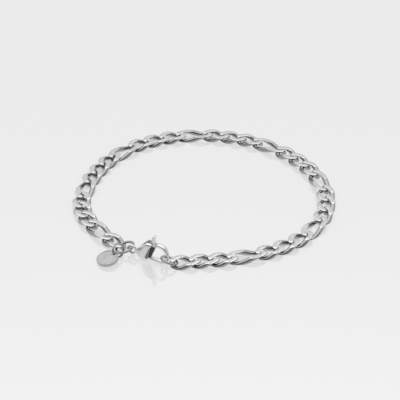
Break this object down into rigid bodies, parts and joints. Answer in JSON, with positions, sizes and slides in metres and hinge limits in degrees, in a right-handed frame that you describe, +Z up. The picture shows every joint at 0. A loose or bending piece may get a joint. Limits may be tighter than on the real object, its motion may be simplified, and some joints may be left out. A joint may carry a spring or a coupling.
{
  "type": "figaro chain bracelet",
  "caption": "Polished steel figaro chain bracelet lying as a closed loop, with a lobster clasp whose lever opens, its end rings, and a small round tag.",
  "frame": {"origin": "on the surface that the bracelet lies on, below the middle of its bounding box", "axes": "+X to the right along the loop's longer way, with the clasp on its left part; +Y away from the viewer, from the clasp's side to the far side of the loop; +Z up out of the surface"},
  "size_m": [0.0708, 0.0666, 0.0078],
  "materials": {
    "chain": "polished",
    "rings": "polished",
    "clasp": "polished",
    "tag": "satin"
  },
  "bodies": {
    "bracelet": {"link_01": "chain", "link_02": "chain", "link_03": "chain", "link_04": "chain", "link_05": "chain", "link_06": "chain", "link_07": "chain", "link_08": "chain", "link_09": "chain", "link_10": "chain", "link_11": "chain", "link_12": "chain", "link_13": "chain", "link_14": "chain", "link_15": "chain", "link_16": "chain", "link_17": "chain", "link_18": "chain", "link_19": "chain", "link_20": "chain", "link_21": "chain", "link_22": "chain", "link_23": "chain", "link_24": "chain", "link_25": "chain", "link_26": "chain", "link_27": "chain", "link_28": "chain", "link_29": "chain", "link_30": "chain", "link_31": "chain", "link_32": "chain", "link_33": "chain", "hook_ring": "rings", "end_ring": "rings", "tag_ring": "rings", "tag": "tag", "clasp_body": "clasp", "clasp_pin": "clasp"},
    "lever": {"clasp_lever": "clasp"}
  },
  "joints": [
    {"name": "lever_pivot", "type": "hinge", "parent": "bracelet", "child": "lever", "pos_m": [-0.01499, -0.02814, 0.00198], "axis": [-0.4226, -0.9063, 0], "range_deg": [0, 22], "stiffness_Nm_per_rad": 0.002, "springref_deg": -28.65}
  ]
}
